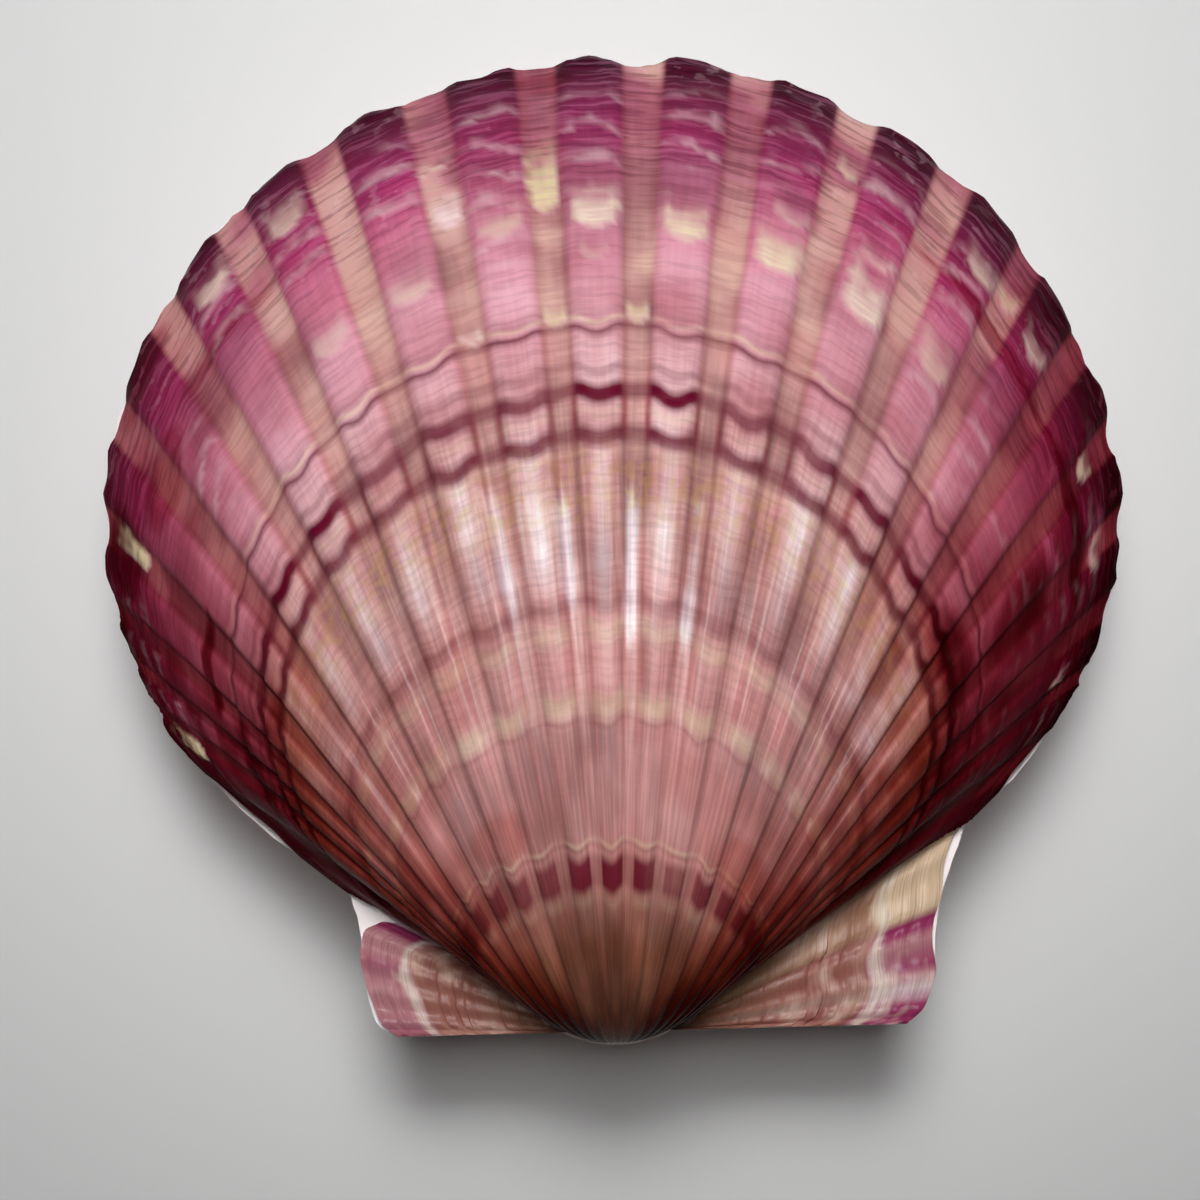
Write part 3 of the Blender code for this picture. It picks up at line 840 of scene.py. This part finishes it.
def rose_shell():
    """Glossy rose calcite with magenta months of growth, dark rest lines and worn pale scales."""
    material, bench, marks, shader = shell_material("rose_shell")
    colour = growing_colour(bench, marks)
    colour = rest_lines(bench, marks, colour)
    colour = last_months(bench, marks, colour)
    colour = pigmented_and_lit(bench, marks, colour)
    on_ear = bench.step(bench.mark("ear"), 0.5, 0.95)
    colour = bench.mix(on_ear, colour, ear_tones(bench, marks))
    colour = bench.mix(bench.mark("inside"), colour, paint(INSIDE_WHITE))
    bench.feed(shader.inputs["Base Color"], colour)
    young = bench.step(marks["Age"], 0.80, 0.90)
    gloss = bench.add(bench.times(marks["Specks"], 0.22), bench.add(bench.times(young, 0.14), 0.22))
    bench.feed(shader.inputs["Roughness"], gloss)
    shader.inputs["Specular IOR Level"].default_value = 0.02
    unpigmented = bench.step(bench.mark("pigment_and_painted_light"), 1.6, 0.2)
    shine = bench.times(unpigmented, bench.step(marks["Age"], 0.20, 0.40), 0.24)
    bench.feed(shader.inputs["Coat Weight"], shine)
    shader.inputs["Coat Roughness"].default_value = 0.30
    add_grain(bench, marks, shader)
    return material


right_valve.data.materials.append(rose_shell())
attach(right_valve, "root")
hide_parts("right_valve")


# The left valve, the lower half: the same growth turned over, a little flatter and with no notch
# under its front ear. Its furrows lie under the other valve's ribs, so that the two rims lock.

LEFT_VALVE_FRONT_EAR = (
    (-0.0160, 0.0), (-0.0175, 0.0010), (-0.0181, 0.0028), (-0.0185, 0.0055),
    (-0.0187, 0.0080), (-0.0190, 0.0095), (-0.0195, 0.0109),
)
LEFT_VALVE_REAR_EAR = (
    (0.0210, 0.0), (0.0223, 0.0010), (0.0232, 0.0034), (0.0236, 0.0072),
    (0.0246, 0.0109), (0.0253, 0.0129), (0.0262, 0.0149),
)
LEFT_VALVE_DEPTH = 0.875
HALF_A_RIB = 0.5

left_valve = model_valve("left_valve_shell", LEFT_VALVE_FRONT_EAR, LEFT_VALVE_REAR_EAR,
                         depth=LEFT_VALVE_DEPTH, rib_shift=HALF_A_RIB, side=-1)


# Tones of this half by age, and its rest lines: age, reach, strength and tone.
GROUND_COLOURS = ((0.0, "#b89888"), (0.25, "#d8c0b4"), (0.55, "#e6d0c8"), (0.8, "#e8d0cc"), (1.0, "#f0dcdc"))
ROSE_RIB_COLOURS = ((0.0, "#8a6050"), (0.25, "#c49488"), (0.5, "#d8a4a0"), (0.75, "#cf8c98"),
                    (0.95, "#b86484"), (1.0, "#d8a0b0"))
PALE_SILK_SHADE = "#6a4a44"
PALE_SILK_LIGHT = "#fff4f0"
SPOT_MAGENTA = "#7c2a54"
MARGIN_LINE = "#b07088"
LINING_WHITE = "#f0e4e4"
FAINT_LINES = (
    (0.7085, 0.005, 0.5, "#a06070"), (0.6480, 0.007, 0.7, "#8a3a50"), (0.6100, 0.006, 0.5, "#a05a68"),
    (0.4740, 0.009, 0.4, "#b87880"), (0.3960, 0.008, 0.35, "#b89070"), (0.2860, 0.006, 0.45, "#94504c"),
)


def pale_shell():
    """Whitish calcite with rose ribs, and magenta spots towards the belly margin."""
    material, bench, marks, shader = shell_material("pale_shell")
    age, crest = marks["Age"], marks["Crest"]
    ground = bench.ramp(age, GROUND_COLOURS)
    colour = bench.mix(bench.times(crest, 0.8), ground, bench.ramp(age, ROSE_RIB_COLOURS))
    silk = bench.step(marks["Streaks"], 0.30, 0.72)
    silky = bench.mix(silk, paint(PALE_SILK_SHADE), paint(PALE_SILK_LIGHT))
    colour = bench.mix(0.22, colour, silky, "OVERLAY")
    in_clouds = bench.step(marks["Mottling"], 0.55, 0.68)
    on_crests = bench.add(bench.times(crest, 0.6), 0.15)
    spot = bench.times(in_clouds, bench.step(age, 0.5, 0.8), on_crests)
    colour = bench.mix(spot, colour, paint(SPOT_MAGENTA))
    drifted = bench.add(age, marks["Drift"])
    for middle, reach, strength, tone in FAINT_LINES:
        share = bench.times(bench.band(drifted, middle, reach), strength)
        colour = bench.mix(share, colour, paint(tone))
    lines = bench.times(bench.step(marks["Lines"], 0.5, 0.64), bench.step(age, 0.7, 0.9), 0.35)
    colour = bench.mix(lines, colour, paint(MARGIN_LINE))
    colour = bench.mix(bench.mark("inside"), colour, paint(LINING_WHITE))
    bench.feed(shader.inputs["Base Color"], colour)
    gloss = bench.add(bench.times(marks["Specks"], 0.22), 0.26)
    bench.feed(shader.inputs["Roughness"], gloss)
    add_grain(bench, marks, shader)
    return material


left_valve.data.materials.append(pale_shell())
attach(left_valve, "root")
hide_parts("left_valve")


# The pale surface that the shell lies on, the soft light of a window beyond the belly margin,
# and the camera straight above.

# Places and sizes in metres, roll and spread in degrees, lens and sensor in millimetres.
CAMERA_HEIGHT = 0.29635
CAMERA_PLACE = (-0.00109, -0.00405)
CAMERA_ROLL = -1.45
CAMERA_LENS = 113.8
CAMERA_SENSOR = 36.0
NEAREST_SEEN = 0.01
TABLE_SIZE = 1.2
TABLE_WHITE = (0.74, 0.745, 0.74, 1)
TABLE_ROUGHNESS = 0.8
WINDOW_PLACE = (0.0, 0.22, 0.50)
CEILING_PLACE = (0.0, 0.09, 0.45)
ROOM_LIGHT = (0.80, 0.82, 0.84, 1)
ROOM_STRENGTH = 0.02

bpy.ops.object.select_all(action="DESELECT")
bpy.ops.mesh.primitive_plane_add(size=TABLE_SIZE, location=(0, 0, 0))
table = bpy.context.object
table.name = "table"
table_material = bpy.data.materials.new("white_card")
table_material.use_nodes = True
table_shader = table_material.node_tree.nodes["Principled BSDF"]
table_shader.inputs["Base Color"].default_value = TABLE_WHITE
table_shader.inputs["Roughness"].default_value = TABLE_ROUGHNESS
table.data.materials.append(table_material)

bpy.ops.object.camera_add(location=(*CAMERA_PLACE, CAMERA_HEIGHT),
                          rotation=(0, 0, math.radians(CAMERA_ROLL)))
camera = bpy.context.object
camera.data.lens = CAMERA_LENS
camera.data.sensor_width = CAMERA_SENSOR
camera.data.clip_start = NEAREST_SEEN
bpy.context.scene.camera = camera


def soft_light(name, place, aim, size, power, spread):
    """A square soft box that faces the point aim and throws its light in a cone."""
    light = bpy.data.lights.new(name, "AREA")
    light.size = size
    light.energy = power
    light.spread = math.radians(spread)
    lamp = bpy.data.objects.new(name, light)
    bpy.context.scene.collection.objects.link(lamp)
    away = np.array(place) - np.array(aim)
    flat = math.hypot(away[0], away[1])
    lamp.location = place
    lamp.rotation_euler = (math.atan2(flat, away[2]), 0, math.atan2(away[0], -away[1]))


DISC_MIDDLE = (0, 0.03, 0)
soft_light("window", WINDOW_PLACE, aim=DISC_MIDDLE, size=0.18, power=0.064, spread=26)
soft_light("window_glow", WINDOW_PLACE, aim=DISC_MIDDLE, size=0.20, power=0.44, spread=180)
soft_light("ceiling", CEILING_PLACE, aim=DISC_MIDDLE, size=0.16, power=0.040, spread=34)

world = bpy.data.worlds.new("room")
world.use_nodes = True
world.node_tree.nodes["Background"].inputs["Color"].default_value = ROOM_LIGHT
world.node_tree.nodes["Background"].inputs["Strength"].default_value = ROOM_STRENGTH
bpy.context.scene.world = world
bpy.context.scene.view_settings.view_transform = "Standard"
